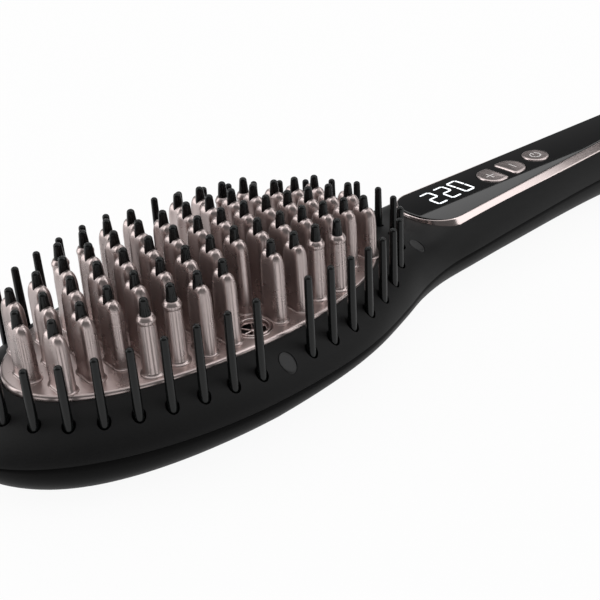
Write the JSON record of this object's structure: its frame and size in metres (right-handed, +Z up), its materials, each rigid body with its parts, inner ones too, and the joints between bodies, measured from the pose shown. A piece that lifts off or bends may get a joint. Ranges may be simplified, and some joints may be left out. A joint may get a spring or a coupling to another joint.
{
  "type": "hair straightener brush",
  "caption": "Heated straightening brush: oval head with finned metal posts and a ring of bristles, handle with a glossy panel, digits, buttons and a cord swivel.",
  "frame": {"origin": "middle of the brush's box, on the surface that it rests on when it lies on its back", "axes": "+X from the head to the handle's end, +Z up through the posts, +Y to the far side"},
  "size_m": [0.292, 0.067, 0.0415],
  "materials": {
    "shell": "fine matte with a soft sheen",
    "rose_metal": "satin rose-bronze coat",
    "rose_trim": "metallised rose, polished",
    "tip_plastic": "satin",
    "inner_plastic": "moulded",
    "heater_ceramic": "matte ceramic",
    "film": "amber film",
    "steel": "plated",
    "module_plastic": "potted module",
    "wire_insulation": "silicone",
    "cover_plastic": "matte plug",
    "panel_gloss": "piano gloss",
    "digit_white": "lit segments",
    "board": "circuit board",
    "cord_rubber": "matte"
  },
  "bodies": {
    "housing": {"lower_shell": "shell", "upper_shell": "shell", "heating_plate": "rose_metal", "finned_posts": "rose_metal", "round_posts": "rose_metal", "bristle_caps": "tip_plastic", "edge_bristles": "tip_plastic", "bristle_strips": "inner_plastic", "plate_tray": "inner_plastic", "heater_elements": "heater_ceramic", "heater_insulation": "film", "heater_clamp": "steel", "clamp_screws": "steel", "thermistor": "film", "thermal_fuse": "steel", "outlet_rings": "rose_trim", "outlet_grilles": "rose_trim", "ion_tubes": "inner_plastic", "ion_needles": "steel", "ion_generator": "module_plastic", "ion_leads": "wire_insulation", "screw_covers": "cover_plastic", "housing_screws": "steel", "trim_ring": "rose_trim", "control_panel": "panel_gloss", "display_digits": "digit_white", "display_module": "module_plastic", "control_board": "board", "board_carrier": "inner_plastic", "tact_switches": "steel", "power_board": "board", "board_parts": "module_plastic", "heater_wires": "wire_insulation", "end_collar": "shell"},
    "plus button": {"plus_button": "rose_trim"},
    "minus button": {"minus_button": "rose_trim"},
    "power button": {"power_button": "rose_trim"},
    "cord swivel": {"swivel_bush": "cord_rubber", "swivel_ring": "steel"}
  },
  "joints": [
    {"name": "plus_press", "type": "slide", "parent": "housing", "child": "plus button", "axis": [0.0279, 0, -0.9996], "range_m": [0, 0.0005], "stiffness_N_per_m": 400, "springref_m": -0.0005},
    {"name": "minus_press", "type": "slide", "parent": "housing", "child": "minus button", "axis": [0.0279, 0, -0.9996], "range_m": [0, 0.0005], "stiffness_N_per_m": 400, "springref_m": -0.0005},
    {"name": "power_press", "type": "slide", "parent": "housing", "child": "power button", "axis": [0.0279, 0, -0.9996], "range_m": [0, 0.0005], "stiffness_N_per_m": 400, "springref_m": -0.0005},
    {"name": "cord_spin", "type": "hinge", "parent": "housing", "child": "cord swivel", "pos_m": [0.125, 0, 0.0113], "axis": [1, 0, 0], "continuous": true}
  ]
}
